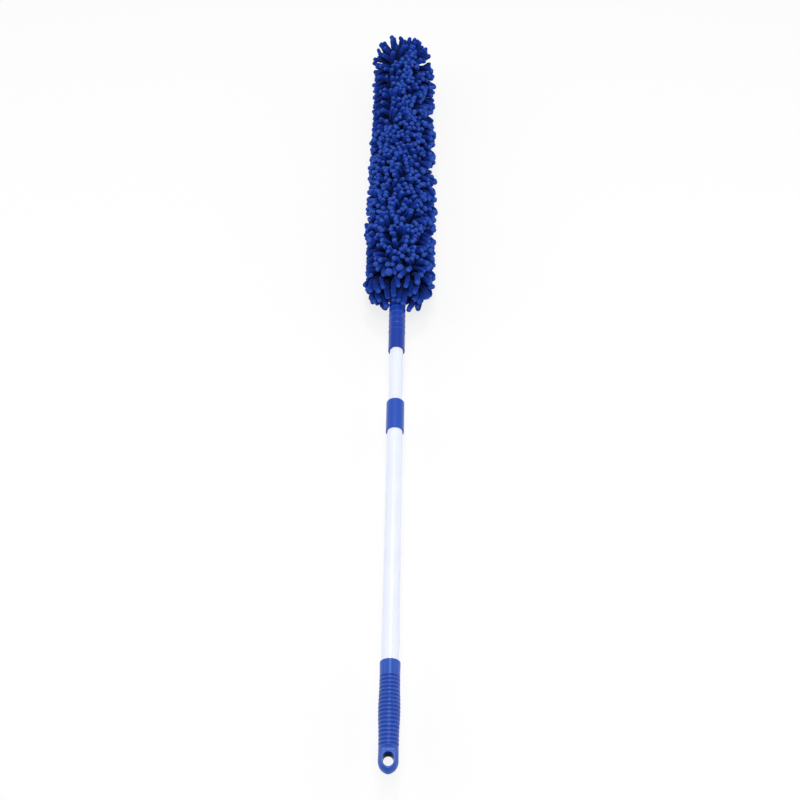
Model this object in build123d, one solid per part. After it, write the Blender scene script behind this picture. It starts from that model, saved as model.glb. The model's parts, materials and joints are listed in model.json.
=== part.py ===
"""Telescopic chenille duster with a twist-locked two-part pole and a bendable head.

Millimetres. Every piece is turned or cut about the pole's own axis, +Z in the
pole frame, with stations measured from the centre of the hanging hole in the
handle. lay_down() then turns the pole onto +Y, with +Z up, as the duster lies.
"""

from build123d import *
from math import atan2, cos, degrees, pi, radians, sqrt, tan
import os

# ---- pole tubes -------------------------------------------------------------
LOWER_TUBE_RADIUS = 9.5
LOWER_TUBE_WALL = 0.4
LOWER_TUBE_FOOT = 34.0
LOWER_TUBE_LENGTH = 427.0
UPPER_TUBE_WALL = 0.4
UPPER_TUBE_LENGTH = 444.0
UPPER_TUBE_SHOWN = 88.0  # bare upper tube between collar and socket, as set
TUBE_NEST_GAP = 0.35  # between the two tubes

# ---- fits -------------------------------------------------------------------
BOND_GAP = 0.03  # glued or pressed round faces
SLIDE_GAP = 0.10  # upper tube in the collar's lip
GUIDE_GAP = 0.05  # guide ring in the lower tube
JOURNAL_GAP = 0.05  # cam ring on its journal
PLAY = 0.20  # end play of the guide ring and the cam ring
SOFT_GAP = 0.30  # soft pieces beside their neighbours

# ---- handle -----------------------------------------------------------------
HANDLE_TOP = 107.0
HANDLE_END_WALL = 0.95  # handle over the tube's radius where the rounded tip starts
HANDLE_MOUTH_WALL = 1.6
HANDLE_END_START = 0.0  # the tip rounds in from here down
HANDLE_END_LENGTH = 12.6
HANDLE_NOSE_RADIUS = 7.0
HANDLE_MOUTH_FILLET = 0.8
PALM_SWELL = 0.8  # extra radius at the palm
PALM_CENTRE = 53.0
PALM_HALF_LENGTH = 30.0
GROOVE_COUNT = 18
GROOVE_FIRST = 15.5
GROOVE_PLAIN_BAND = 18.4  # from the last groove to the handle's mouth
GROOVE_WIDTH = 1.7
GROOVE_DEPTH = 0.65
RIB_CROWN = 0.25  # how far each rib bulges between its grooves
TAB_HALF_THICKNESS = 7.0
TAB_FLAT_END = 7.6
TAB_TO_GROOVE = 1.5  # plain handle between the tab's runout and the first groove
TAB_EDGE_FILLET = 1.0
HANG_HOLE_RADIUS = 5.2
HANG_HOLE_LAND = 2.0  # straight wall at the middle of the tab
HANG_FLARE_LENGTHWISE = 2.4
HANG_FLARE_SIDEWAYS = 0.8
HANG_FLARE_OFFSET = 0.3

# ---- lock collar ------------------------------------------------------------
COLLAR_WALL = 1.75
COLLAR_LENGTH = 46.5
COLLAR_LIP = 2.0
COLLAR_TOP_FILLET = 1.3
COLLAR_FOOT_FILLET = 0.3

# ---- twist lock in the upper tube's foot --------------------------------------
PLUG_INSERT_LENGTH = 24.0
PLUG_GROOVE_DEPTH = 0.8
PLUG_SHOULDER = 2.0
PLUG_FLANGE = 3.0
PLUG_FLANGE_GAP = 0.9  # inside the lower tube
GUIDE_RING_WALL = 2.55
GUIDE_RING_HEIGHT = 5.6
GUIDE_RING_SLIT = 2.5
CAM_RING_GAP = 0.6  # inside the lower tube, before the pole is twisted
CAM_LOCK_GAP = 0.006  # what is left of it at a quarter turn
CAM_HEIGHT = 12.6
CAM_RELIEF_WIDTH = 2.0
CAM_RELIEF_DEPTH = 0.9
CAM_RELIEF_COUNT = 6
JOURNAL_RADIUS = 5.0
WASHER_OVERLAP = 2.4  # past the journal's radius
WASHER_THICKNESS = 1.0
SCREW_SHANK_RADIUS = 1.5
SCREW_HEAD_RADIUS = 3.0
SCREW_HEAD_HEIGHT = 2.2
SCREW_HEAD_FILLET = 0.8
SCREW_LENGTH = 12.0
SCREW_SLOT = 0.8

# ---- head socket --------------------------------------------------------------
SOCKET_WALL = 2.1
SOCKET_LENGTH = 121.0
SOCKET_TUBE_DEPTH = 45.0
SOCKET_SEPTUM = 3.0
SOCKET_FOOT_FILLET = 0.3
SOCKET_TOP_FILLET = 1.3
BEAD_COUNT = 7
BEAD_FIRST = 33.7  # above the socket's foot
BEAD_PITCH = 10.2
BEAD_HEIGHT = 0.4
BEAD_WIDTH = 1.0
FERRULE_WALL = 4.22
FERRULE_LENGTH = 38.0
CORE_SCREW_AFTER_BEAD = 3  # the screw sits midway between this bead and the next
CORE_SCREW_ANGLE = -49.0  # round the pole, from +X
CORE_SCREW_HEAD_RADIUS = 1.3
CORE_SCREW_HEAD_HEIGHT = 0.9
CORE_SCREW_SHANK_RADIUS = 0.75
CORE_SCREW_SLOT = 0.4
CORE_SCREW_SINK = 0.3  # head below the socket's surface

# ---- bendable head --------------------------------------------------------------
LINK_COUNT = 6
LINK_PITCH = 96.0
SOCKET_TO_HINGE = 58.0
BEND_LIMIT = 18.0  # degrees each way at each hinge
BEND_SPARE = 0.5  # degrees left between two links at the limit
HINGE_HALF_GAP = 0.3
WIRE_RADIUS = 2.25
FOAM_RADIUS = 18.5
SOCKET_TO_FOAM = 4.0
FOAM_TIP_LENGTH = 91.0  # past the last hinge
FOAM_END_WALL = 5.0
TIP_CAP_RADIUS = 7.0
TIP_CAP_LENGTH = 20.0
TIP_CAP_WALL = 4.0
CHENILLE_RADIUS = 50.0
CHENILLE_DOME_HEIGHT = 50.0
CHENILLE_PAST_FOAM = 40.0
CHENILLE_DROOP = 54.0  # fringe hanging back over the socket
CHENILLE_SWELL_LENGTH = 37.0
CHENILLE_MOUTH_WALL = 7.6
PRESSED_FLAT = 6.0  # pile pressed in where the head lies on a surface
CUFF_WALL = 2.6
CUFF_LENGTH = 11.0
CUFF_BELOW_SOCKET_TOP = 22.0

# ---- worked out -----------------------------------------------------------------
LOWER_TUBE_BORE = LOWER_TUBE_RADIUS - LOWER_TUBE_WALL
UPPER_TUBE_RADIUS = LOWER_TUBE_BORE - TUBE_NEST_GAP
UPPER_TUBE_BORE = UPPER_TUBE_RADIUS - UPPER_TUBE_WALL
LOWER_TUBE_TOP = LOWER_TUBE_FOOT + LOWER_TUBE_LENGTH
COLLAR_RADIUS = LOWER_TUBE_RADIUS + COLLAR_WALL
COLLAR_TOP = LOWER_TUBE_TOP + COLLAR_LIP
COLLAR_FOOT = COLLAR_TOP - COLLAR_LENGTH
SOCKET_RADIUS = UPPER_TUBE_RADIUS + SOCKET_WALL
SOCKET_FOOT = COLLAR_TOP + UPPER_TUBE_SHOWN
SOCKET_TOP = SOCKET_FOOT + SOCKET_LENGTH
BEAD_CREST = SOCKET_RADIUS + BEAD_HEIGHT

HANDLE_END_RADIUS = LOWER_TUBE_RADIUS + HANDLE_END_WALL
HANDLE_MOUTH_RADIUS = LOWER_TUBE_RADIUS + HANDLE_MOUTH_WALL
HANDLE_NOSE_CENTRE = HANDLE_END_START - HANDLE_END_LENGTH + HANDLE_NOSE_RADIUS
HANDLE_TIP_SIDE_RADIUS = (
    (HANDLE_END_START - HANDLE_NOSE_CENTRE) ** 2 / (HANDLE_END_RADIUS - HANDLE_NOSE_RADIUS)
    + HANDLE_END_RADIUS
    + HANDLE_NOSE_RADIUS
) / 2
GROOVE_PITCH = (HANDLE_TOP - GROOVE_PLAIN_BAND - GROOVE_FIRST) / (GROOVE_COUNT - 1)
TAB_CUT_DEPTH = HANDLE_END_RADIUS - TAB_HALF_THICKNESS
TAB_RUNOUT = GROOVE_FIRST - TAB_TO_GROOVE - TAB_FLAT_END
TAB_RUNOUT_RADIUS = (TAB_RUNOUT**2 + TAB_CUT_DEPTH**2) / (2 * TAB_CUT_DEPTH)

UPPER_TUBE_TOP = SOCKET_FOOT + SOCKET_TUBE_DEPTH
UPPER_TUBE_FOOT = UPPER_TUBE_TOP - UPPER_TUBE_LENGTH
GUIDE_RING_RADIUS = LOWER_TUBE_BORE - GUIDE_GAP
GUIDE_NECK_RADIUS = GUIDE_RING_RADIUS - GUIDE_RING_WALL - SLIDE_GAP
GUIDE_TOP = UPPER_TUBE_FOOT - PLUG_SHOULDER
GUIDE_FOOT = GUIDE_TOP - GUIDE_RING_HEIGHT - 2 * PLAY
JOURNAL_TOP = GUIDE_FOOT - PLUG_FLANGE
JOURNAL_FOOT = JOURNAL_TOP - CAM_HEIGHT - 2 * PLAY
WASHER_FOOT = JOURNAL_FOOT - WASHER_THICKNESS
CAM_RING_RADIUS = LOWER_TUBE_BORE - CAM_RING_GAP
CAM_ECCENTRICITY = (CAM_RING_GAP - CAM_LOCK_GAP) / sqrt(2)

FERRULE_FOOT = UPPER_TUBE_TOP + SOCKET_SEPTUM
FERRULE_RADIUS = WIRE_RADIUS + FERRULE_WALL
SOCKET_BORE_RADIUS = FERRULE_RADIUS + BOND_GAP
CORE_SCREW_STATION = SOCKET_FOOT + BEAD_FIRST + BEAD_PITCH * (CORE_SCREW_AFTER_BEAD - 0.5)

HINGES = [SOCKET_TOP + SOCKET_TO_HINGE + LINK_PITCH * i for i in range(LINK_COUNT - 1)]
BEVEL = radians(BEND_LIMIT / 2 + BEND_SPARE)
FOAM_START = SOCKET_TOP + SOCKET_TO_FOAM
FOAM_END = HINGES[-1] + FOAM_TIP_LENGTH
CHENILLE_START = SOCKET_TOP - CHENILLE_DROOP
CHENILLE_FULL_STATION = CHENILLE_START + CHENILLE_SWELL_LENGTH
CHENILLE_END = FOAM_END + CHENILLE_PAST_FOAM
CHENILLE_DOME_STATION = CHENILLE_END - CHENILLE_DOME_HEIGHT
RESTING_HEIGHT = CHENILLE_RADIUS - PRESSED_FLAT
CUFF_START = SOCKET_TOP - CUFF_BELOW_SOCKET_TOP
CUFF_BORE = BEAD_CREST + SOFT_GAP
CHENILLE_NECK_RADIUS = CUFF_BORE + CUFF_WALL + SOFT_GAP
CHENILLE_MOUTH_RADIUS = CHENILLE_NECK_RADIUS + CHENILLE_MOUTH_WALL


def lay_down(shape):
    """From the pole frame to the row frame: the pole's +Z becomes +Y, its -Y becomes up."""
    return Rot(-90, 0, 0) * shape


def save(name, shape):
    export_step(lay_down(shape), f"parts/{name}.step")


def turned(*edges):
    """A solid of revolution from edges that close an outline on the radius-station half plane."""
    return revolve(make_face(Plane.XZ * Curve(edges)), Axis.Z)


def ring(outer, inner, foot, top):
    """A plain round tube, or a bar where inner is 0."""
    return turned(Polyline((inner, foot), (outer, foot), (outer, top), (inner, top), close=True))


# ---- handle and lower tube -------------------------------------------------------


def grip_radius(station):
    """Crest radius of the handle: a slight taper with a palm swell."""
    taper = HANDLE_MOUTH_RADIUS - HANDLE_END_RADIUS
    plain = HANDLE_END_RADIUS + taper * station / HANDLE_TOP
    off = (station - PALM_CENTRE) / PALM_HALF_LENGTH
    swell = PALM_SWELL * cos(off * pi / 2) ** 2 if abs(off) < 1 else 0.0
    return plain + swell


def grip_outline():
    """Edges of the handle's outline, from the tip's pole up to the mouth and back down the axis."""
    tip = (0, HANDLE_END_START - HANDLE_END_LENGTH)
    side = (HANDLE_END_RADIUS, HANDLE_END_START)
    side_centre = HANDLE_END_RADIUS - HANDLE_TIP_SIDE_RADIUS
    turn = degrees(atan2(HANDLE_END_START - HANDLE_NOSE_CENTRE, -side_centre))
    edges = [
        CenterArc((0, HANDLE_NOSE_CENTRE), HANDLE_NOSE_RADIUS, -90, 90 - turn),
        CenterArc((side_centre, HANDLE_END_START), HANDLE_TIP_SIDE_RADIUS, -turn, turn),
    ]
    grooves = [GROOVE_FIRST + GROOVE_PITCH * i for i in range(GROOVE_COUNT)]
    last = side
    for number, station in enumerate(grooves):
        shoulder = grip_radius(station) - RIB_CROWN
        low = (shoulder, station - GROOVE_WIDTH / 2)
        high = (shoulder, station + GROOVE_WIDTH / 2)
        if number:
            middle = station - GROOVE_PITCH / 2
            edges.append(ThreePointArc(last, (grip_radius(middle), middle), low))
        else:
            edges.append(Line(last, low))
        edges.append(ThreePointArc(low, (shoulder - GROOVE_DEPTH, station), high))
        last = high
    mouth = (HANDLE_MOUTH_RADIUS, HANDLE_TOP)
    return edges + [Line(last, mouth), Polyline(mouth, (0, HANDLE_TOP), tip)]


def tab_cutter():
    """What flattens one face of the handle's end: a block whose inner upper edge is rounded."""
    depth = 2 * HANDLE_END_RADIUS
    foot = HANDLE_END_START - 2 * HANDLE_END_LENGTH
    height = TAB_FLAT_END + TAB_RUNOUT_RADIUS - foot
    block = Box(3 * HANDLE_END_RADIUS, depth, height, align=(Align.CENTER, Align.MIN, Align.MIN))
    block = Pos(0, TAB_HALF_THICKNESS, foot) * block
    inner_edge = block.edges().filter_by(Axis.X).group_by(Axis.Z)[-1].sort_by(Axis.Y)[0]
    return fillet(inner_edge, TAB_RUNOUT_RADIUS)


def hang_hole():
    """The hanging hole: a short round land, flared to an oval rim on each face."""
    land = HANG_HOLE_LAND / 2
    through = Rot(90, 0, 0) * Cylinder(HANG_HOLE_RADIUS, HANG_HOLE_LAND)
    flares = []
    for side in (-1, 1):
        inner = Plane(origin=(0, side * land, 0), x_dir=(1, 0, 0), z_dir=(0, side, 0))
        face_at = side * TAB_HALF_THICKNESS
        outer = Plane(origin=(0, face_at, HANG_FLARE_OFFSET), x_dir=(1, 0, 0), z_dir=(0, side, 0))
        half_width = HANG_HOLE_RADIUS + HANG_FLARE_SIDEWAYS
        rim = outer * Ellipse(half_width, HANG_HOLE_RADIUS + HANG_FLARE_LENGTHWISE)
        flares.append(loft([inner * Circle(HANG_HOLE_RADIUS), rim]))
    return through + flares


def handle_grip():
    body = turned(*grip_outline())
    body = fillet(body.edges().group_by(Axis.Z)[-1], HANDLE_MOUTH_FILLET)
    body -= [tab_cutter(), mirror(tab_cutter(), Plane.XZ)]
    flats = body.faces().filter_by(Axis.Y).filter_by(GeomType.PLANE)
    tip = HANDLE_END_START - HANDLE_END_LENGTH
    body = fillet(flats.edges().filter_by_position(Axis.Z, tip, HANDLE_END_START), TAB_EDGE_FILLET)
    body -= hang_hole()
    bore = LOWER_TUBE_RADIUS + BOND_GAP
    body -= ring(bore, 0, LOWER_TUBE_FOOT, HANDLE_TOP)
    return body


def lower_tube():
    return ring(LOWER_TUBE_RADIUS, LOWER_TUBE_BORE, LOWER_TUBE_FOOT, LOWER_TUBE_TOP)


def lock_collar():
    """Sleeve over the lower tube's mouth, with a lip that guides the upper tube and stops its foot."""
    collar = ring(COLLAR_RADIUS, 0, COLLAR_FOOT, COLLAR_TOP)
    collar = fillet(collar.edges().group_by(Axis.Z)[-1], COLLAR_TOP_FILLET)
    collar = fillet(collar.edges().group_by(Axis.Z)[0], COLLAR_FOOT_FILLET)
    collar -= ring(LOWER_TUBE_RADIUS + BOND_GAP, 0, COLLAR_FOOT, LOWER_TUBE_TOP)
    return collar - ring(UPPER_TUBE_RADIUS + SLIDE_GAP, 0, LOWER_TUBE_TOP, COLLAR_TOP)


# ---- upper tube and twist lock ----------------------------------------------------


def upper_tube():
    return ring(UPPER_TUBE_RADIUS, UPPER_TUBE_BORE, UPPER_TUBE_FOOT, UPPER_TUBE_TOP)


def guide_ring():
    """Split ring that centres the upper tube's foot and drags on the lower tube's wall."""
    foot = GUIDE_FOOT + PLAY
    bore = GUIDE_RING_RADIUS - GUIDE_RING_WALL
    body = ring(GUIDE_RING_RADIUS, bore, foot, foot + GUIDE_RING_HEIGHT)
    slit = Box(LOWER_TUBE_BORE, GUIDE_RING_SLIT, GUIDE_RING_HEIGHT)
    return body - Pos(-LOWER_TUBE_BORE / 2 - 1, 0, foot + GUIDE_RING_HEIGHT / 2) * slit


def lock_plug():
    """Plug in the upper tube's foot: insert, shoulder, guide neck, flange and off-centre journal."""
    insert_radius = UPPER_TUBE_BORE - BOND_GAP
    insert_top = UPPER_TUBE_FOOT + PLUG_INSERT_LENGTH
    plug = ring(insert_radius, 0, UPPER_TUBE_FOOT, insert_top)
    plug = chamfer(plug.edges().group_by(Axis.Z)[-1], 1.0)
    plug += ring(UPPER_TUBE_RADIUS, 0, GUIDE_TOP, UPPER_TUBE_FOOT)
    plug += ring(GUIDE_NECK_RADIUS, 0, GUIDE_FOOT, GUIDE_TOP)
    plug += ring(LOWER_TUBE_BORE - PLUG_FLANGE_GAP, 0, JOURNAL_TOP, GUIDE_FOOT)
    journal = ring(JOURNAL_RADIUS, 0, JOURNAL_FOOT, JOURNAL_TOP)
    plug += Pos(CAM_ECCENTRICITY, 0, 0) * journal
    for share in (0.35, 0.65):  # two gripping grooves that the tube's crimps bite into
        station = UPPER_TUBE_FOOT + PLUG_INSERT_LENGTH * share
        floor = insert_radius - PLUG_GROOVE_DEPTH
        plug -= ring(insert_radius + 1, floor, station - 1, station + 1)
    pilot = ring(SCREW_SHANK_RADIUS + BOND_GAP, 0, JOURNAL_FOOT, WASHER_FOOT + SCREW_LENGTH)
    return plug - Pos(CAM_ECCENTRICITY, 0, 0) * pilot


def lock_cam():
    """Off-centre ring on the journal: as the pole is twisted it swings out against the lower tube."""
    foot = JOURNAL_FOOT + PLAY
    cam = ring(CAM_RING_RADIUS, 0, foot, foot + CAM_HEIGHT)
    cam -= Pos(CAM_ECCENTRICITY, 0, 0) * ring(JOURNAL_RADIUS + JOURNAL_GAP, 0, foot, foot + CAM_HEIGHT)
    relief = Box(2 * CAM_RELIEF_DEPTH, CAM_RELIEF_WIDTH, CAM_HEIGHT)
    middle = foot + CAM_HEIGHT / 2
    reliefs = [
        Rot(0, 0, (i + 0.5) * 360 / CAM_RELIEF_COUNT) * Pos(CAM_RING_RADIUS, 0, middle) * relief
        for i in range(CAM_RELIEF_COUNT)
    ]
    return cam - reliefs


def cam_washer():
    outer = JOURNAL_RADIUS + WASHER_OVERLAP
    body = ring(outer, SCREW_SHANK_RADIUS + BOND_GAP, WASHER_FOOT, JOURNAL_FOOT)
    return Pos(CAM_ECCENTRICITY, 0, 0) * body


def cam_screw():
    head_foot = WASHER_FOOT - SCREW_HEAD_HEIGHT
    screw = ring(SCREW_HEAD_RADIUS, 0, head_foot, WASHER_FOOT)
    screw = fillet(screw.edges().group_by(Axis.Z)[0], SCREW_HEAD_FILLET)
    screw += ring(SCREW_SHANK_RADIUS, 0, WASHER_FOOT, WASHER_FOOT + SCREW_LENGTH)
    slot = Box(2 * SCREW_HEAD_RADIUS, SCREW_SLOT, SCREW_HEAD_HEIGHT)
    cross = [slot, Rot(0, 0, 90) * slot]
    screw -= Pos(0, 0, head_foot) * Compound(cross)
    return Pos(CAM_ECCENTRICITY, 0, 0) * screw


# ---- head socket -------------------------------------------------------------------


def core_screw_place():
    """From a screw standing on +Z at the origin to its radial hole in the socket's wall."""
    head_top = SOCKET_RADIUS - CORE_SCREW_SINK
    return Pos(0, 0, CORE_SCREW_STATION) * Rot(0, 0, CORE_SCREW_ANGLE) * Rot(0, 90, 0) * Pos(0, 0, head_top)


def core_screw_hole(gap):
    """Shank and head space of the core screw, wider than the screw by gap, with the head's top at 0."""
    tip = WIRE_RADIUS + SOFT_GAP - (SOCKET_RADIUS - CORE_SCREW_SINK)
    shank = ring(CORE_SCREW_SHANK_RADIUS + gap, 0, tip, -CORE_SCREW_HEAD_HEIGHT)
    return shank + ring(CORE_SCREW_HEAD_RADIUS + gap, 0, -CORE_SCREW_HEAD_HEIGHT, 0)


def head_socket():
    """Ferrule that the pole enters from below and the bendable core from above."""
    socket = ring(SOCKET_RADIUS, 0, SOCKET_FOOT, SOCKET_TOP)
    socket = fillet(socket.edges().group_by(Axis.Z)[-1], SOCKET_TOP_FILLET)
    socket = fillet(socket.edges().group_by(Axis.Z)[0], SOCKET_FOOT_FILLET)
    half = BEAD_WIDTH / 2
    for i in range(BEAD_COUNT):
        at = SOCKET_FOOT + BEAD_FIRST + BEAD_PITCH * i
        low, high = (SOCKET_RADIUS, at - half), (SOCKET_RADIUS, at + half)
        root = SOCKET_RADIUS - 1
        back = Polyline(high, (root, at + half), (root, at - half), low)
        socket += turned(ThreePointArc(low, (BEAD_CREST, at), high), back)
    socket -= ring(UPPER_TUBE_RADIUS + BOND_GAP, 0, SOCKET_FOOT, UPPER_TUBE_TOP)
    socket -= ring(SOCKET_BORE_RADIUS, 0, FERRULE_FOOT, SOCKET_TOP)
    well = ring(CORE_SCREW_HEAD_RADIUS + BOND_GAP, 0, 0, CORE_SCREW_SINK + 1)
    return socket - core_screw_place() * (core_screw_hole(BOND_GAP) + well)


def core_ferrule():
    """Metal sleeve crimped round the wire's foot, held in the socket by the core screw."""
    top = FERRULE_FOOT + FERRULE_LENGTH
    body = ring(FERRULE_RADIUS, WIRE_RADIUS + BOND_GAP, FERRULE_FOOT, top)
    return body - core_screw_place() * core_screw_hole(BOND_GAP)


def core_screw():
    screw = core_screw_hole(0.0)
    slot = Box(2 * CORE_SCREW_HEAD_RADIUS, CORE_SCREW_SLOT, CORE_SCREW_SLOT)
    return core_screw_place() * (screw - [slot, Rot(0, 0, 90) * slot])


# ---- bendable head -------------------------------------------------------------------


def link_start(number, radius, first):
    """Lowest station of link number at a radius: bevelled up from its hinge, or first on link 0."""
    if number == 0:
        return first
    return HINGES[number - 1] + HINGE_HALF_GAP + radius * tan(BEVEL)


def link_end(number, radius, last):
    """Highest station of link number at a radius: bevelled down to its hinge, or last on the tip link."""
    if number == LINK_COUNT - 1:
        return last
    return HINGES[number] - HINGE_HALF_GAP - radius * tan(BEVEL)


def link_bar(number, outer, inner, first, last):
    """Ring-shaped length of the head between two hinges, with bevelled ends that let it swing."""
    return turned(
        Polyline(
            (inner, link_start(number, inner, first)),
            (outer, link_start(number, outer, first)),
            (outer, link_end(number, outer, last)),
            (inner, link_end(number, inner, last)),
            close=True,
        )
    )


def core_wire(number):
    return link_bar(number, WIRE_RADIUS, 0, FERRULE_FOOT, tip_cap_seat())


def tip_cap_seat():
    """Station where the wire's end bears on the inside of the tip cap."""
    return FOAM_END - FOAM_END_WALL - SOFT_GAP - TIP_CAP_WALL


def tip_cap():
    """Blunt cap on the wire's end, so that it can't work through the foam."""
    top = FOAM_END - FOAM_END_WALL - SOFT_GAP
    cap = ring(TIP_CAP_RADIUS, 0, top - TIP_CAP_LENGTH, top)
    cap = fillet(cap.edges().group_by(Axis.Z)[-1], TIP_CAP_WALL / 2)
    return cap - ring(WIRE_RADIUS + BOND_GAP, 0, top - TIP_CAP_LENGTH, tip_cap_seat())


def core_foam(number):
    """Foam round the wire; the last length is closed over the tip cap."""
    inner = WIRE_RADIUS + BOND_GAP
    if number < LINK_COUNT - 1:
        return link_bar(number, FOAM_RADIUS, inner, FOAM_START, FOAM_END)
    foam = link_bar(number, FOAM_RADIUS, 0, FOAM_START, FOAM_END)
    foam = fillet(foam.edges().group_by(Axis.Z)[-1], FOAM_RADIUS / 2)
    top = FOAM_END - FOAM_END_WALL
    foam -= ring(TIP_CAP_RADIUS + SOFT_GAP, 0, top - TIP_CAP_LENGTH - SOFT_GAP, top)
    return foam - ring(inner, 0, HINGES[-1], top)


def chenille_cavity(number):
    """What lies inside the sleeve's pile: the cuff, the socket and the foam, each with soft clearance."""
    foam = FOAM_RADIUS + SOFT_GAP
    if number == LINK_COUNT - 1:
        return ring(foam, 0, HINGES[-1], FOAM_END + SOFT_GAP)
    if number:
        return ring(foam, 0, HINGES[number - 1], HINGES[number])
    cuff_top = CUFF_START + CUFF_LENGTH + SOFT_GAP
    cavity = ring(CHENILLE_NECK_RADIUS, 0, CHENILLE_START, cuff_top)
    cavity += ring(CUFF_BORE, 0, cuff_top, FOAM_START - SOFT_GAP)
    return cavity + ring(foam, 0, FOAM_START - SOFT_GAP, HINGES[0])


def chenille_mouth_outline():
    """Outline of the first length of pile: its fringe droops over the socket, then swells to full radius."""
    start = (CHENILLE_MOUTH_RADIUS, CHENILLE_START)
    full = (CHENILLE_RADIUS, CHENILLE_FULL_STATION)
    top = (CHENILLE_RADIUS, link_end(0, CHENILLE_RADIUS, 0))
    axis_top = (0, link_end(0, 0, 0))
    swell = EllipticalCenterArc(
        (CHENILLE_MOUTH_RADIUS, CHENILLE_FULL_STATION),
        CHENILLE_RADIUS - CHENILLE_MOUTH_RADIUS,
        CHENILLE_FULL_STATION - CHENILLE_START,
        start_angle=-90,
        arc_size=90,
    )
    return [swell, Polyline(full, top, axis_top, (0, CHENILLE_START), start)]


def chenille_tip_outline():
    """Outline of the last length of pile, domed over the tip."""
    number = LINK_COUNT - 1
    foot = (0, link_start(number, 0, 0))
    side = (CHENILLE_RADIUS, link_start(number, CHENILLE_RADIUS, 0))
    dome = EllipticalCenterArc(
        (0, CHENILLE_DOME_STATION),
        CHENILLE_RADIUS,
        CHENILLE_DOME_HEIGHT,
        start_angle=0,
        arc_size=90,
    )
    shoulder = (CHENILLE_RADIUS, CHENILLE_DOME_STATION)
    return [Polyline((0, CHENILLE_END), foot, side, shoulder), dome]


def chenille(number):
    """One length of the chenille sleeve's pile, flat where it lies on the surface."""
    if number == 0:
        pile = turned(*chenille_mouth_outline())
    elif number == LINK_COUNT - 1:
        pile = turned(*chenille_tip_outline())
    else:
        pile = link_bar(number, CHENILLE_RADIUS, 0, 0, 0)
    length = CHENILLE_END - CHENILLE_START
    below = Box(2 * CHENILLE_RADIUS, CHENILLE_RADIUS, length, align=(Align.CENTER, Align.MIN, Align.MIN))
    pile -= Pos(0, RESTING_HEIGHT, CHENILLE_START) * below
    return pile - chenille_cavity(number)


def sleeve_cuff():
    """Elastic cuff that closes the sleeve's mouth on the socket."""
    cuff = ring(CUFF_BORE + CUFF_WALL, CUFF_BORE, CUFF_START, CUFF_START + CUFF_LENGTH)
    return fillet(cuff.edges(), CUFF_WALL / 3)


def main():
    os.makedirs("parts", exist_ok=True)
    single = (
        handle_grip, lower_tube, lock_collar, upper_tube, guide_ring, lock_plug, lock_cam, cam_washer,
        cam_screw, head_socket, core_ferrule, core_screw, sleeve_cuff, tip_cap,
    )
    for make in single:
        save(make.__name__, make())
    for make in (core_wire, core_foam, chenille):
        for number in range(LINK_COUNT):
            save(f"{make.__name__}_{number + 1}", make(number))


main()
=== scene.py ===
"""The chenille duster's visual model: noodle pile, sleeve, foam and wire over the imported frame.

The frame and Blender work in metres. Sizes here are in millimetres unless a comment says
otherwise, and MM turns one into the other. Directions round the head are angles from +X
towards +Z, so 90 degrees is the top of the duster as it lies.
"""

import json
import math

import bpy
import numpy as np
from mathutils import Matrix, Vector


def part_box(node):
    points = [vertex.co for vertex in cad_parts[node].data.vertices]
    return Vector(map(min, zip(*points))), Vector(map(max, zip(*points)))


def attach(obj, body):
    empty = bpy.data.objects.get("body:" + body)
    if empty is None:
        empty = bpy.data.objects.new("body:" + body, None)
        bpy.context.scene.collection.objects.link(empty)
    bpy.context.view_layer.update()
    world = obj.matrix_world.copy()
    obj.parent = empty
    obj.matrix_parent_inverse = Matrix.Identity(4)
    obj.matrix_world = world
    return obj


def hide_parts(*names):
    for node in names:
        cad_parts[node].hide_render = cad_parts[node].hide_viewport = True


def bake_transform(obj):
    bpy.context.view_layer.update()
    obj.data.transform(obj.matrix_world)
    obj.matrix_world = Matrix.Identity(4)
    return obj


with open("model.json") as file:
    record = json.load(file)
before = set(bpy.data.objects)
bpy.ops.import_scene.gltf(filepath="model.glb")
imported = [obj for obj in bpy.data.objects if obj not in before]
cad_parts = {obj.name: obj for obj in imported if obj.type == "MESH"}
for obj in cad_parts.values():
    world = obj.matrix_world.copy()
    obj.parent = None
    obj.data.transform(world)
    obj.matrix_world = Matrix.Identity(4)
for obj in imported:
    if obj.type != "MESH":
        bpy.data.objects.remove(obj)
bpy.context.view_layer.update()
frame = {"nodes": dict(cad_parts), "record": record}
MM = 0.001
SEED = 11
RNG = np.random.default_rng(SEED)

# ---------------------------------------------------------------- sizes from the frame


def low(node):
    """The least X, Y and Z of a node's box, in millimetres."""
    return np.array(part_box(node)[0]) / MM


def high(node):
    """The greatest X, Y and Z of a node's box, in millimetres."""
    return np.array(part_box(node)[1]) / MM


HINGES = sorted(
    joint["pos_m"][1] / MM
    for joint in frame["record"]["behaviour"]["joints"]
    if joint["name"].startswith("head_bend")
)
HALF_LINK = (HINGES[1] - HINGES[0]) / 2
CUTS = [HINGES[0] - HALF_LINK] + [h + HALF_LINK for h in HINGES]  # between lengths of the head
EDGES = [-math.inf] + CUTS + [math.inf]
LAST = len(CUTS)  # number of the head's last length, at the tip
LINK_BODIES = ["upper_pole"] + [f"head_{n}" for n in range(2, 7)]
HEAD_RADIUS = high("chenille_3")[0]
FLOOR = low("chenille_3")[2]
HEAD_END = high("chenille_6")[1]
FOAM_RADIUS = high("core_foam_3")[0]
FOAM_START, FOAM_END = low("core_foam_1")[1], high("core_foam_6")[1]
WIRE_RADIUS = high("core_wire_3")[0]
WIRE_START, WIRE_END = low("core_wire_1")[1], high("core_wire_6")[1]
SOCKET_RADIUS = high("head_socket")[0]
CUFF_START, CUFF_END = low("sleeve_cuff")[1], high("sleeve_cuff")[1]
CUFF_OUTER = high("sleeve_cuff")[0]

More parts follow.
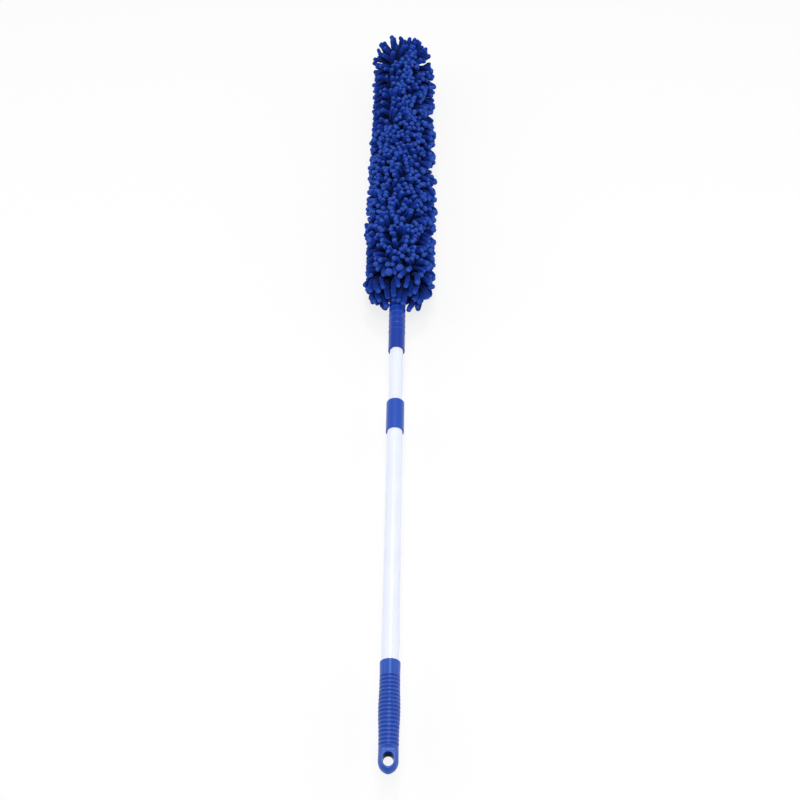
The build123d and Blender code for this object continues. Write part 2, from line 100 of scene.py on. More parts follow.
CLOTH_RADIUS = FOAM_RADIUS + 1.2  # outside of the sleeve's base cloth
CLOTH_THICKNESS = 0.8
DOME_CENTRE = FOAM_END - FOAM_RADIUS + 1.0  # of the rounded tip, a little past the foam's own
CLOTH_OUTLINE = (  # station and radius: gathered at the mouth, then straight over the foam
    (CUFF_START, CUFF_OUTER + 0.9),
    (CUFF_END, CUFF_OUTER + 1.2),
    (CUFF_END + 5, CLOTH_RADIUS - 2.2),
    (CUFF_END + 11, CLOTH_RADIUS),
)
CLOTH_START = CUFF_END - 4.0  # a little inside the cuff
CLOTH_END = DOME_CENTRE + CLOTH_RADIUS * 0.9995  # just short of closing on the axis
SEAM = 123.0  # where the sleeve's seam runs, in degrees

# ---------------------------------------------------------------- node materials


class Nodes:
    """A short way to write one material's node tree. Lengths in it are in metres, as in Blender."""

    def __init__(self, name):
        self.material = bpy.data.materials.new(name)
        self.material.use_nodes = True
        self.tree = self.material.node_tree
        self.tree.nodes.clear()
        self.out = self.tree.nodes.new("ShaderNodeOutputMaterial")

    def add(self, kind, links=None, **settings):
        """A node; links fills its sockets, each from another node's socket or a plain value."""
        node = self.tree.nodes.new("ShaderNode" + kind)
        for key, value in settings.items():
            setattr(node, key, value)
        for key, value in (links or {}).items():
            if isinstance(value, bpy.types.NodeSocket):
                self.tree.links.new(value, node.inputs[key])
            else:
                node.inputs[key].default_value = value
        return node

    def here(self):
        """The object's own coordinates."""
        return self.add("TexCoord").outputs["Object"]

    def ramp(self, fac, stops):
        node = self.add("ValToRGB", {"Fac": fac})
        elements = node.color_ramp.elements
        while len(elements) < len(stops):
            elements.new(0.5)
        for element, (at, colour) in zip(elements, stops):
            element.position, element.color = at, (*colour, 1)
        return node.outputs["Color"]

    def noise(self, scale, detail=2.0, rough=0.5):
        links = {"Vector": self.here(), "Scale": scale, "Detail": detail, "Roughness": rough}
        return self.add("TexNoise", links).outputs["Fac"]

    def streaks(self, scale, detail):
        """Noise with a scale of its own along each axis, for marks drawn out along the pole."""
        drawn = self.add("Mapping", {"Vector": self.here(), "Scale": scale}).outputs[0]
        links = {"Vector": drawn, "Scale": 1.0, "Detail": detail}
        return self.add("TexNoise", links).outputs["Fac"]

    def cells(self, scale):
        return self.add("TexVoronoi", {"Vector": self.here(), "Scale": scale}).outputs["Distance"]

    def bump(self, height, strength, distance, normal=None):
        links = {"Height": height, "Strength": strength, "Distance": distance}
        if normal is not None:
            links["Normal"] = normal
        return self.add("Bump", links).outputs["Normal"]

    def math(self, operation, *values):
        return self.add("Math", dict(enumerate(values)), operation=operation).outputs[0]

    def scaled(self, value, least, most):
        """A value from 0 to 1 turned into one from least to most."""
        links = {"Value": value, "To Min": least, "To Max": most}
        return self.add("MapRange", links).outputs[0]

    def tinted(self, colour, by):
        links = {"Factor": 1.0, "A": colour, "B": by}
        node = self.add("Mix", links, data_type="RGBA", blend_type="MULTIPLY")
        return node.outputs["Result"]

    def place(self):
        """X, Y and Z of the object's own coordinates."""
        return self.add("SeparateXYZ", {0: self.here()}).outputs

    def from_ring(self, node, first, pitch, count):
        """How far a place is from the nearest of a row of rings: 0 at it, 1 midway to the next.

        first and pitch are in millimetres along the pole.
        """
        start = first * MM - frame["nodes"][node].matrix_world.translation.y
        turn = self.math("DIVIDE", self.math("SUBTRACT", self.place()[1], start), pitch * MM)
        not_before = self.math("MAXIMUM", self.math("ROUND", turn), 0.0)
        nearest = self.math("MINIMUM", not_before, count - 1.0)
        off = self.math("ABSOLUTE", self.math("SUBTRACT", turn, nearest))
        return self.math("MULTIPLY", off, 2.0)

    def in_hole(self, radius, half):
        """How near a place is to the rim of a hole along Z at the origin: less than 1 inside it.

        radius and half, half of the hole's depth, are in millimetres.
        """
        x, y, z = self.place()
        square = self.math("ADD", self.math("MULTIPLY", x, x), self.math("MULTIPLY", y, y))
        out = self.math("DIVIDE", self.math("SQRT", square), radius * MM)
        up = self.math("DIVIDE", self.math("ABSOLUTE", z), half * MM)
        return self.math("MAXIMUM", out, up)

    def surface(self, **sockets):
        links = {key.replace("_", " "): value for key, value in sockets.items()}
        shader = self.add("BsdfPrincipled", links)
        self.tree.links.new(shader.outputs[0], self.out.inputs["Surface"])
        return self.material


def moulded(name, colour, deeper, roughness, rings=None, hole=None):
    """Satin moulded plastic: faint flow clouding, a little fine texture and rubbed patches.

    rings is where a row of rings stands, and the stops of painted shade and painted highlight laid
    on each from its middle out.
    hole is where the hanging hole is, and the stops of painted shade laid on its wall.
    """
    n = Nodes(name)
    clouding_and_painted_light = n.ramp(n.noise(scale=38, detail=3), [(0.3, deeper), (0.7, colour)])
    # Painted light on the rings: painted shade and highlight on the grip's grooves, or painted
    # highlights and shade lines on the socket's beads.
    if rings:
        where, stops = rings
        clouding_and_painted_light = n.tinted(clouding_and_painted_light, n.ramp(n.from_ring(**where), stops))
    # Painted shade on the wall inside the hanging hole.
    if hole:
        where, stops = hole
        clouding_and_painted_light = n.tinted(clouding_and_painted_light, n.ramp(n.in_hole(**where), stops))
    rubbed = n.noise(scale=95, detail=4, rough=0.6)
    grain = n.bump(n.noise(scale=2600, detail=2), strength=0.12, distance=0.00012)
    return n.surface(
        Base_Color=clouding_and_painted_light,
        Roughness=n.scaled(rubbed, roughness - 0.05, roughness + 0.09),
        Normal=n.bump(n.noise(scale=70, detail=1), strength=0.18, distance=0.0006, normal=grain),
        Coat_Weight=0.6,
        Coat_Roughness=0.33,
        Specular_IOR_Level=0.1,
    )


def lacquer(name, colour, deeper):
    """White lacquer on drawn tube: slight orange peel and lengthwise draw marks."""
    n = Nodes(name)
    return n.surface(
        Base_Color=n.ramp(n.noise(scale=24, detail=2), [(0.3, deeper), (0.7, colour)]),
        Roughness=n.scaled(n.streaks(scale=(900, 8, 900), detail=2.0), 0.22, 0.36),
        Normal=n.bump(n.noise(scale=700, detail=1), strength=0.08, distance=0.0002),
        Coat_Weight=0.22,
        Coat_Roughness=0.2,
    )


def metal(name, colour, roughness):
    """Plated or drawn metal with fine scratches."""
    n = Nodes(name)
    marks = n.streaks(scale=(2200, 300, 2200), detail=3.0)
    deeper = tuple(c * 0.8 for c in colour)
    return n.surface(
        Base_Color=n.ramp(marks, [(0.25, deeper), (0.75, colour)]),
        Metallic=1.0,
        Roughness=n.scaled(n.noise(scale=300, detail=3), roughness - 0.08, roughness + 0.1),
        Normal=n.bump(marks, strength=0.15, distance=0.0001),
    )


def nylon(name, colour, deeper):
    """Natural nylon, a little translucent."""
    n = Nodes(name)
    return n.surface(
        Base_Color=n.ramp(n.noise(scale=120, detail=3), [(0.3, deeper), (0.7, colour)]),
        Roughness=0.42,
        Subsurface_Weight=0.1,
        Normal=n.bump(n.noise(scale=1500, detail=2), strength=0.15, distance=0.0001),
    )


def dipped_rubber(name, colour, deeper):
    """Matt dipped rubber."""
    n = Nodes(name)
    return n.surface(
        Base_Color=n.ramp(n.noise(scale=200, detail=3), [(0.3, deeper), (0.7, colour)]),
        Roughness=0.6,
        Normal=n.bump(n.noise(scale=900, detail=3), strength=0.3, distance=0.0003),
    )


def plush(name, painted_shade_by_depth, by_dye):
    """Microfibre chenille: tufted nap with painted shade darkening it towards its root and a
    painted highlight at its tip, which catches light at its edges.
    """
    n = Nodes(name)
    along = n.add("Attribute", attribute_name="along").outputs["Fac"]
    dye = n.add("Attribute", attribute_name="dye").outputs["Fac"]
    tuft = n.noise(scale=620, detail=3, rough=0.62)
    patchy = n.ramp(tuft, [(0.28, (0.62, 0.62, 0.66)), (0.72, (1.12, 1.12, 1.08))])
    # Painted shade darkens each noodle towards its root and a painted highlight lightens its tip,
    # under a random patchy tone.
    nap_and_painted_shade = n.tinted(n.ramp(along, painted_shade_by_depth), patchy)
    fibre = n.bump(n.noise(scale=3400, detail=2, rough=0.7), strength=0.45, distance=0.0003)
    return n.surface(
        Base_Color=n.tinted(nap_and_painted_shade, n.ramp(dye, by_dye)),
        Roughness=0.82,
        Sheen_Weight=0.22,
        Sheen_Roughness=0.4,
        Sheen_Tint=(0.14, 0.36, 1.0, 1.0),
        Specular_IOR_Level=0.12,
        Normal=n.bump(tuft, strength=0.65, distance=0.0009, normal=fibre),
    )


def knitted(name, colour, deeper, stitch):
    """Fine knitted cloth: courses round the tube and wales along it, with a slight nap."""
    n = Nodes(name)
    links = {"Vector": n.here(), "Scale": stitch, "Distortion": 1.5, "Detail": 1.0}
    course = n.add("TexWave", links, bands_direction="Y").outputs["Fac"]
    mixed = n.math("MULTIPLY", course, n.cells(stitch * 3.2))
    return n.surface(
        Base_Color=n.ramp(mixed, [(0.1, deeper), (0.6, colour)]),
        Roughness=0.9,
        Sheen_Weight=0.2,
        Sheen_Tint=(0.1, 0.22, 0.8, 1.0),
        Normal=n.bump(mixed, strength=0.6, distance=0.0005),
    )


def cellular(name, colour, deeper):
    """Open-cell foam."""
    n = Nodes(name)
    pores = n.cells(900.0)
    return n.surface(
        Base_Color=n.ramp(pores, [(0.1, deeper), (0.6, colour)]),
        Roughness=0.95,
        Normal=n.bump(pores, strength=0.7, distance=0.0008),
    )


# Stops are (place, tint). A groove or bead runs from 0 at its middle to 1 midway to the next one.
# Painted shade darkens the middle of each grip groove, and a painted highlight lightens the crests
# between them.
GROOVE_SHADE_AND_HIGHLIGHT = (
    {"node": "handle_grip", "first": 15.5, "pitch": 4.3, "count": 18},
    [
        (0.0, (0.36, 0.48, 0.68)),
        (0.24, (0.5, 0.6, 0.78)),
        (0.44, (1, 1, 1)),
        (1.0, (1.45, 1.25, 1.1)),
    ],
)
# A painted highlight makes each socket bead a bright arc, with a thin painted shade line just
# beside it.
BEAD_HIGHLIGHT_AND_SHADE = (
    {"node": "head_socket", "first": 584.7, "pitch": 10.2, "count": 7},
    [(0.0, (14, 3.2, 1.6)), (0.10, (10, 2.6, 1.45)), (0.14, (0.5, 0.72, 0.88)), (0.24, (1, 1, 1))],
)
# Painted shade, near black, on the wall inside the hanging hole, fading out at its rim.
HANG_HOLE_SHADE = (
    {"radius": 8.2, "half": 7.0},
    [(0.66, (0.03, 0.04, 0.07)), (0.88, (0.3, 0.36, 0.5)), (0.98, (1, 1, 1))],
)
# Painted shade from a noodle's root, where the pile is deep, up to a painted highlight at its tip.
PILE_PAINTED_SHADE_BY_DEPTH = [  # from the root of a noodle to its tip
    (0.0, (0.0003, 0.002, 0.028)),
    (0.5, (0.0009, 0.010, 0.12)),
    (0.8, (0.003, 0.029, 0.28)),
    (0.93, (0.008, 0.048, 0.39)),
    (1.0, (0.030, 0.088, 0.47)),
]
PILE_BY_DYE = [(0.0, (0.82, 0.84, 0.9)), (0.5, (1.0, 1.0, 1.0)), (1.0, (1.3, 1.2, 1.12))]
RECIPES = {  # each material's kind, and what that kind asks for after its name
    "handle_plastic": (
        moulded, (0.008, 0.062, 0.40), (0.006, 0.055, 0.37), 0.40, GROOVE_SHADE_AND_HIGHLIGHT, HANG_HOLE_SHADE
    ),
    "collar_plastic": (moulded, (0.016, 0.076, 0.44), (0.013, 0.067, 0.41), 0.38),
    "socket_plastic": (moulded, (0.0012, 0.036, 0.34), (0.001, 0.031, 0.31), 0.38, BEAD_HIGHLIGHT_AND_SHADE),
    "tube_paint": (lacquer, (0.78, 0.825, 0.955), (0.745, 0.79, 0.94)),
    "plug_plastic": (nylon, (0.78, 0.77, 0.72), (0.66, 0.65, 0.60)),
    "nylon": (nylon, (0.78, 0.77, 0.72), (0.66, 0.65, 0.60)),
    "zinc_steel": (metal, (0.72, 0.74, 0.76), 0.28),
    "wire_steel": (metal, (0.42, 0.42, 0.43), 0.4),
    "cap_rubber": (dipped_rubber, (0.03, 0.03, 0.032), (0.012, 0.012, 0.013)),
    "foam": (cellular, (0.24, 0.25, 0.3), (0.09, 0.10, 0.13)),
    "cuff_fabric": (knitted, (0.010, 0.036, 0.21), (0.004, 0.015, 0.1), 260.0),
    "chenille": (plush, PILE_PAINTED_SHADE_BY_DEPTH, PILE_BY_DYE),
}
MATERIALS = {name: kind(name, *asked) for name, (kind, *asked) in RECIPES.items()}
CLOTH = knitted("base_cloth", (0.006, 0.022, 0.14), (0.002, 0.008, 0.06), 300.0)

# ---------------------------------------------------------------- mesh helpers


def mesh_object(name, points, faces, material, floats=None):
    """An object from points in millimetres and a list of index arrays, all shaded smooth."""
    mesh = bpy.data.meshes.new(name)
    mesh.vertices.add(len(points))
    mesh.vertices.foreach_set("co", (np.asarray(points) * MM).ravel())
    corners = np.concatenate([f.ravel() for f in faces]).astype(np.int32)
    sizes = np.concatenate([np.full(len(f), f.shape[1]) for f in faces])
    starts = np.concatenate([[0], np.cumsum(sizes)[:-1]]).astype(np.int32)
    mesh.loops.add(len(corners))
    mesh.loops.foreach_set("vertex_index", corners)
    mesh.polygons.add(len(sizes))
    mesh.polygons.foreach_set("loop_start", starts)
    mesh.polygons.foreach_set("use_smooth", np.ones(len(sizes), bool))
    mesh.update(calc_edges=True)
    mesh.validate()
    for key, values in (floats or {}).items():
        layer = mesh.attributes.new(key, "FLOAT", "POINT")
        layer.data.foreach_set("value", values.astype(np.float32))
    mesh.materials.append(material)
    made = bpy.data.objects.new(name, mesh)
    bpy.context.scene.collection.objects.link(made)
    return made


def along_head(made, number):
    """Lets the first or last length of the head follow its body; a length between them only has its
    place baked into its mesh.
    """
    if 0 < number < LAST:
        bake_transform(made)
    else:
        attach(made, LINK_BODIES[0 if number == 0 else -1])


def circle(count):
    return np.arange(count) * 2 * math.pi / count


def ring_quads(here, there, sides):
    """Faces between rings of points; here and there are columns of the rings' first points."""
    side = np.arange(sides)
    beside = (side + 1) % sides
    corners = (here + side, here + beside, there + beside, there + side)
    return np.stack(corners, -1).reshape(-1, 4)


def lathe(profile, sides, closed):
    """Points and faces of a profile of (radius, station) pairs turned round the pole's axis."""
    profile = np.asarray(profile, float)
    turn = circle(sides)
    x = profile[:, :1] * np.cos(turn)
    z = profile[:, :1] * np.sin(turn)
    y = np.repeat(profile[:, 1:], sides, axis=1)
    count = len(profile)
    here = np.arange(count if closed else count - 1)[:, None]
    there = (here + 1) % count
    quads = ring_quads(here * sides, there * sides, sides)
    return np.stack([x, y, z], -1).reshape(-1, 3), [quads]


def stations(first, last, step):
    return np.linspace(first, last, max(2, int(round((last - first) / step)) + 1))


# ---------------------------------------------------------------- where noodles start and end

ALONG = np.array([0.0, 1.0, 0.0])
MOUTH = CUFF_END
NOODLE_RADIUS = 3.3
RADIUS_SPREAD, RADIUS_LIMIT = 0.22, 0.6
ROOT_DEPTH = 0.4  # how deep under the cloth's face a noodle starts
SLACK_SPREAD, LEAST_SLACK = 0.03, 1.01
MOST_ARCH = 1.35  # radians that a slack noodle's ends turn off the straight way

# The fringe round the mouth
FRINGE_RADIUS = 3.5
FRINGE_TIERS = (
    # count, root past the mouth, reach low and high, station past the mouth low and high, bend
    (9, 0.8, 33, 17, 7, -34, 0.7),
    (10, 4.4, 40, 27, 13, -28, 0.7),
    (12, 9.0, 43, 36, 25, -22, 0.8),
    (14, 14.0, 45, 42, 33, -10, 0.8),
    (17, 19.4, 46, 47, 39, 7, 1.0),
    (19, 24.8, 47, 48, 42, 19, 1.0),
)
FRINGE_SLACK = ([0, 2, 3, 5], [1.12, 1.22, 1.2, 1.1])  # tiers, and the slack that each has
THINNED_TIERS, THINNED_BELOW = 3, 0.35  # the head's weight thins these out beneath
STOUT_RADIUS, STOUT_REACH, STOUT_SLACK, STOUT_HANG = 4.9, 50.5, 1.02, 17.0

# The straight part. Rows are gathered in tufts, and each tuft draws in the rows nearest to it.
ROW_COUNT = 24
ROWS = stations(MOUTH + 30.5, DOME_CENTRE - 1, 7.5)
ROW_PITCH = ROWS[1] - ROWS[0]
BODY_SLACK = 1.06
ROWS_PER_TUFT = 3
TUFT_COUNT = 11
TUFT_PAST_ROW = 2.0
TUFT_REACH = 47.0
ROUND_WEIGHT = 0.8  # what a distance round the head counts for against one along it

# On the +X side the tufts stand out as fingers, with gaps between them
OUTER_TURN, OUTER_STEEP, OUTER_CUT = 0.22, 2.2, 0.7
OUTER_PULL = 0.92  # how far the noodles there are drawn to their tuft's centre
OUTER_LEAN = 10.0  # and how far they lean towards the mouth
STAND_OUT = 6.5
SECOND_SHORT, BETWEEN_SHORT, BETWEEN_LEAN = 5.0, 14.0, 6.0  # the rows after a finger's own
FINGER_EXTRA = 0.7  # radius
THINNED_SIDE = 0.45  # from here out every other noodle is left out between the fingers

# On the -X side rows lie together two by two
PAIR_STEEP, PAIR_CUT = 2, 0.9
PAIR_SHIFT = 0.32  # how far a row lies towards its pair, as a share of the rows' pitch
PAIR_LEAN = 4.0

# Beside the seam the pile is brushed flat on one side, and leans off it on the other
COMB_START, COMB_END = HEAD_END - 250, HEAD_END - 62
COMB_NEAR_START, COMB_NEAR_END = MOUTH + 26, MOUTH + 84
COMB_WIDTH = 66  # degrees
COMB_TURN = math.radians(44)  # how far round the head a brushed noodle lies
COMB_LEAN = 1.0
COMB_REACH = 45.0
BESIDE_WIDTH = 40  # degrees
BESIDE_TURN, BESIDE_LEAN = 0.16, 5.0
SOFT_ROUND, SOFT_ALONG, SOFT_BESIDE = 10, 16, 20  # how gently each begins and ends

# The rounded tip
TIP_LEAN, TIP_STRETCH = 20.0, 26  # how far the last rows lean over it, and on what length
DOME_RINGS = ((11, 16), (27, 15), (43, 12), (59, 9), (76, 5))  # degrees above the rim, and count
DOME_SLACK = 1.03
DOME_REACH, DOME_EXTRA = 50, 9.5  # from the dome's centre, and how much more along the axis
DOME_LOCKS, LOCK_PULL = 13, 0.5
LOCKS_FROM, LOCKS_SPAN = 0.12, 0.86  # how high the locks stand, from 0 at the rim to 1 on the axis
GOLDEN_TURN = 2.4  # radians, which spreads the locks evenly
FORWARD, FORWARD_BELOW = 0.3, 50  # the rings lower than this many degrees lean forward


def radial(angle):
    return np.stack([np.cos(angle), np.zeros_like(angle), np.sin(angle)], -1)


def around(radius, angle, station):
    """Points at a radius, an angle and a station of the head."""
    out = np.asarray(radius * np.ones_like(angle))[:, None] * radial(angle)
    return out + np.asarray(station)[:, None] * ALONG


def spaced(count, number):
    """Angles evenly round one ring, with every other ring half a step on."""
    return (np.arange(count) + 0.5 * (number % 2)) * 2 * math.pi / count


def jitter(spread, shape):
    return RNG.normal(0, spread, shape)


def short_way(angle):
    return (angle + math.pi) % (2 * math.pi) - math.pi


def in_degrees(angle):
    return np.degrees(angle) % 360


def unit(vectors):
    return vectors / np.linalg.norm(vectors, axis=-1, keepdims=True)


def window(value, start, end, soft):
    """1 between start and end, falling smoothly to 0 over soft on either side."""
    rise = np.clip((value - start) / soft + 0.5, 0, 1)
    fall = np.clip((end - value) / soft + 0.5, 0, 1)
    return rise * rise * (3 - 2 * rise) * fall * fall * (3 - 2 * fall)


def cloth_radius(station):
    """Outside of the base cloth, which is rounded over the tip."""
    r = np.interp(station, *zip(*CLOTH_OUTLINE))
    past = np.clip((station - DOME_CENTRE) / CLOTH_RADIUS, 0, 1)
    return r * np.sqrt(1 - past**2)


def outer_side(angle):
    """1 on the +X side, where the tufts stand out as fingers, and 0 on the other sides."""
    return np.clip(np.cos(angle + OUTER_TURN) * OUTER_STEEP - OUTER_CUT, 0, 1)


def combed(angle, station):
    """How far the pile is brushed flat beside its seam, from 0 to 1."""
    stretches = window(station, COMB_START, COMB_END, SOFT_ALONG)
    stretches = stretches + window(station, COMB_NEAR_START, COMB_NEAR_END, SOFT_ALONG)
    return window(in_degrees(angle), SEAM - 2, SEAM + COMB_WIDTH, SOFT_ROUND) * stretches


class Planting:
    """Roots, tips, lengths and radii of the noodles, gathered ring by ring."""

    def __init__(self):
        self.rings = []

    def add(self, roots, tips, slack, radius=NOODLE_RADIUS):
        """slack is how much longer a noodle is than the straight way to its tip."""
        count = len(roots)
        way = np.linalg.norm(tips - roots, axis=1)
        lengths = way * np.maximum(slack + jitter(SLACK_SPREAD, count), LEAST_SLACK)
        radii = RNG.normal(radius, RADIUS_SPREAD, count)
        radii = np.clip(radii, radius - RADIUS_LIMIT, radius + RADIUS_LIMIT)
        self.rings.append((roots, tips, lengths, radii))

    def gathered(self):
        return [np.concatenate(x) for x in zip(*self.rings)]


def rooted(angle, station):
    return around(cloth_radius(station) - ROOT_DEPTH, angle, station)


def plant_fringe(planting):
    """Tiers round the mouth that arch out and hang back over the socket, less so near the floor."""
    for number, tier in enumerate(FRINGE_TIERS):
        count, root, reach_low, reach_high, low_end, high_end, bend = tier
        angle = spaced(count, number) + jitter(0.09, count)
        y = MOUTH + root + jitter(0.5, count)
        height = np.clip(1 + np.sin(angle), 0, 1)  # from 0 underneath to 1 at the sides and above
        reach = reach_low + (reach_high - reach_low) * height + jitter(1.8, count)
        to_y = MOUTH + low_end + (high_end - low_end) * height**bend + jitter(3.2, count)
        tips = around(reach, angle + jitter(0.2, count), to_y)
        slack = np.interp(number, *FRINGE_SLACK)
        kept = height > (THINNED_BELOW if number < THINNED_TIERS else -1.0)
        planting.add(rooted(angle, y)[kept], tips[kept], slack, FRINGE_RADIUS)
    angle = np.radians([105.0, 91.0])  # two stout ones that stand out
    y = MOUTH + np.array([14.0, 17.0])
    tips = around(STOUT_REACH, angle, y - STOUT_HANG)
    planting.add(rooted(angle, y), tips, STOUT_SLACK, STOUT_RADIUS)


def tuft_centres():
    """Angle, station, pull, lean round, lean along and reach of each tuft the pile gathers in."""
    found = []
    for number, station in enumerate(ROWS[0::ROWS_PER_TUFT] + TUFT_PAST_ROW):
        count = TUFT_COUNT
        angle = spaced(count, number) + jitter(0.12, count)
        outer = outer_side(angle)
        inner = 1 - outer
        columns = [
            angle,
            station + jitter(5.0, count) * inner,
            RNG.uniform(0.0, 0.15, count) * inner + OUTER_PULL * outer,
            jitter(3.2, count) * inner,
            RNG.normal(-1.0, 3.4, count) * inner - OUTER_LEAN * outer,
            RNG.normal(TUFT_REACH, 1.6, count) + STAND_OUT * outer,
        ]
        found.append(np.stack(columns, -1))
    return np.concatenate(found)


def plant_body(planting):
    """Rings along the straight part, drawn together in tufts and brushed over beside the seam."""
    tufts = tuft_centres()
    for number, station in enumerate(ROWS):
        place = number % ROWS_PER_TUFT  # 0 in the row that a tuft is centred on
        angle = spaced(ROW_COUNT, number)
        flat = combed(angle, station)
        loose = 1 - flat
        angle = angle + jitter(0.08, ROW_COUNT) * loose
        y = station + jitter(1.1, ROW_COUNT) * loose
        outer = outer_side(angle)

        round_way = short_way(angle[:, None] - tufts[:, 0]) * HEAD_RADIUS * ROUND_WEIGHT
        nearest = np.argmin(np.hypot(round_way, y[:, None] - tufts[:, 1]), axis=1)
        centre, middle, pull, lean_round, lean_along, reach = tufts[nearest].T
        to_angle = angle + short_way(centre - angle) * pull + lean_round / HEAD_RADIUS
        to_angle += jitter(0.05, ROW_COUNT)
        to_y = y + (middle - y) * pull + lean_along
        to_y += jitter(1.6, ROW_COUNT) * (1 - 0.6 * outer)

        paired = np.clip(-np.cos(angle) * PAIR_STEEP - PAIR_CUT, 0, 1)
        shift = PAIR_SHIFT if number % 2 else -PAIR_SHIFT
        to_y += paired * (ROW_PITCH * shift - PAIR_LEAN)
        to_y += TIP_LEAN * np.clip((y - DOME_CENTRE + TIP_STRETCH) / TIP_STRETCH, 0, 1)

        beside = window(in_degrees(angle), SEAM - BESIDE_WIDTH, SEAM - 2, SOFT_ROUND)
        beside = beside * window(y, COMB_START, HEAD_END, SOFT_BESIDE)
        to_angle -= BESIDE_TURN * beside
        to_y += BESIDE_LEAN * beside
        to_angle += (angle + COMB_TURN - to_angle) * flat
        to_y += (y - COMB_LEAN - to_y) * flat

        between = outer * (place == 2)  # shorter ones fill in where the outer side parts
        to_y += (y - BETWEEN_LEAN - to_y) * between
        reach = reach - BETWEEN_SHORT * between - SECOND_SHORT * outer * (place == 1)
        reach = reach + (COMB_REACH - reach) * flat + jitter(1.7, ROW_COUNT) * loose
        tips = around(reach, to_angle, to_y)
        kept = (outer < THINNED_SIDE) | (place == 0) | (np.arange(ROW_COUNT) % 2 == 0)
        radius = NOODLE_RADIUS + FINGER_EXTRA * outer * (place == 0)
        planting.add(rooted(angle, y)[kept], tips[kept], BODY_SLACK, radius[kept])


def plant_dome(planting):
    """Longer noodles fanned out over the rounded tip, drawn together in a few locks."""
    turn = np.arange(DOME_LOCKS)
    up = LOCKS_FROM + LOCKS_SPAN * (turn + 0.5) / DOME_LOCKS
    wide = np.sqrt(1 - up**2)
    lock = np.stack([wide * np.cos(turn * GOLDEN_TURN), up, wide * np.sin(turn * GOLDEN_TURN)], -1)
    for number, (lift, count) in enumerate(DOME_RINGS):
        angle = spaced(count, number) + jitter(0.1, count)
        rise = np.radians(lift + jitter(2.0, count))
        way = np.cos(rise)[:, None] * radial(angle) + np.sin(rise)[:, None] * ALONG
        roots = DOME_CENTRE * ALONG + (CLOTH_RADIUS - ROOT_DEPTH) * way
        near = lock[np.argmax(way @ lock.T, axis=1)]
        pull = RNG.uniform(0.5, 1.1, count)[:, None]
        aim = way + LOCK_PULL * near * pull + jitter(0.06, (count, 3))
        aim = unit(aim + FORWARD * ALONG * (lift < FORWARD_BELOW))
        reach = DOME_REACH + DOME_EXTRA * np.clip(aim[:, 1] * 1.5, 0, 1) + jitter(1.8, count)
        planting.add(roots, DOME_CENTRE * ALONG + aim * reach[:, None], DOME_SLACK)


def plant():
    """Every noodle's root, first and last direction, length and radius."""
    planting = Planting()
    plant_fringe(planting)
    plant_body(planting)
    plant_dome(planting)
    roots, tips, lengths, radii = planting.gathered()
    chord = tips - roots
    way = np.linalg.norm(chord, axis=1)
    chord /= way[:, None]
    out = unit(roots - np.minimum(roots[:, 1], DOME_CENTRE)[:, None] * ALONG)
    out += jitter(0.12, out.shape)
    bow = unit(out - (out * chord).sum(1, keepdims=True) * chord)
    arch = np.minimum(np.sqrt(6 * (1 - way / lengths)), MOST_ARCH)[:, None]
    first = np.cos(arch) * chord + np.sin(arch) * bow
    last = np.cos(arch) * chord - np.sin(arch) * bow
    return roots, first, last, lengths, radii


# ---------------------------------------------------------------- how noodles lie on each other

NODES = 6  # lengths in each noodle's line
LOOSE = 2  # the first node of a line that others can push
ROUNDS, CALM_ROUNDS = 48, 12  # in the last, calm ones a noodle's own lie counts for less
EASE, CALM_EASE, ROOT_EASE = 0.10, 0.04, 0.5
SLICE = 9.6  # along the head: noodles are compared inside a slice and with the next one
TOUCH = 0.96  # share of two radii at which they touch, as the pile is soft
PUSH_SHARE, PUSH_MOST = 0.42, 1.6
FLOOR_GAP = 1.16  # radii that a line stays above the floor, with room for its lumpy skin
CORE_GAP = 0.9  # radii that a line stays off the cloth
SOCKET_CORE = CUFF_OUTER - 2.2  # what the noodles that hang back over the socket stay off
HEAD_ROOM = 1.5  # how far past the head's radius the pile may stand
TINY = 1e-6


def lay(roots, first, last, lengths):
    """Each noodle's free line, from its root and turning from its first way to its last."""
    share = np.linspace(0, 1, NODES + 1)[1:, None]
    line = np.zeros((len(roots), NODES + 1, 3))
    line[:, 0] = roots
    step = lengths / NODES
    for k in range(NODES):
        heading = unit(first * (1 - share[k]) + last * share[k])
        line[:, k + 1] = line[:, k] + heading * step[:, None]
    return line


def push_apart(line, radii):
    """Moves nodes of different noodles off each other where they are closer than their radii."""
    points = line[:, LOOSE:].reshape(-1, 3)
    per = NODES + 1 - LOOSE
    owner = np.repeat(np.arange(len(line)), per)
    radius = np.repeat(radii, per)
    push = np.zeros_like(points)
    order = np.argsort(points[:, 1], kind="stable")
    cell = ((points[order, 1] - points[:, 1].min()) / SLICE).astype(int)
    edges = np.searchsorted(cell, np.arange(cell.max() + 2))
    for c in range(cell.max() + 1):
        a = order[edges[c] : edges[c + 1]]
        b = order[edges[c] : edges[min(c + 2, len(edges) - 1)]]
        if not len(a):
            continue
        gap = points[a][:, None] - points[b][None]
        far = np.sqrt((gap**2).sum(-1)) + TINY
        need = (radius[a][:, None] + radius[b][None]) * TOUCH
        close = (far < need) & (owner[a][:, None] != owner[b][None])
        pull = np.where(close, (need - far) / far * PUSH_SHARE, 0)[..., None] * gap
        np.add.at(push, a, pull.sum(1))
        later = np.arange(len(b)) >= len(a)  # pairs inside one slice are met twice already
        np.add.at(push, b[later], -pull.sum(0)[later])
    line[:, LOOSE:] += np.clip(push, -PUSH_MOST, PUSH_MOST).reshape(len(line), per, 3)


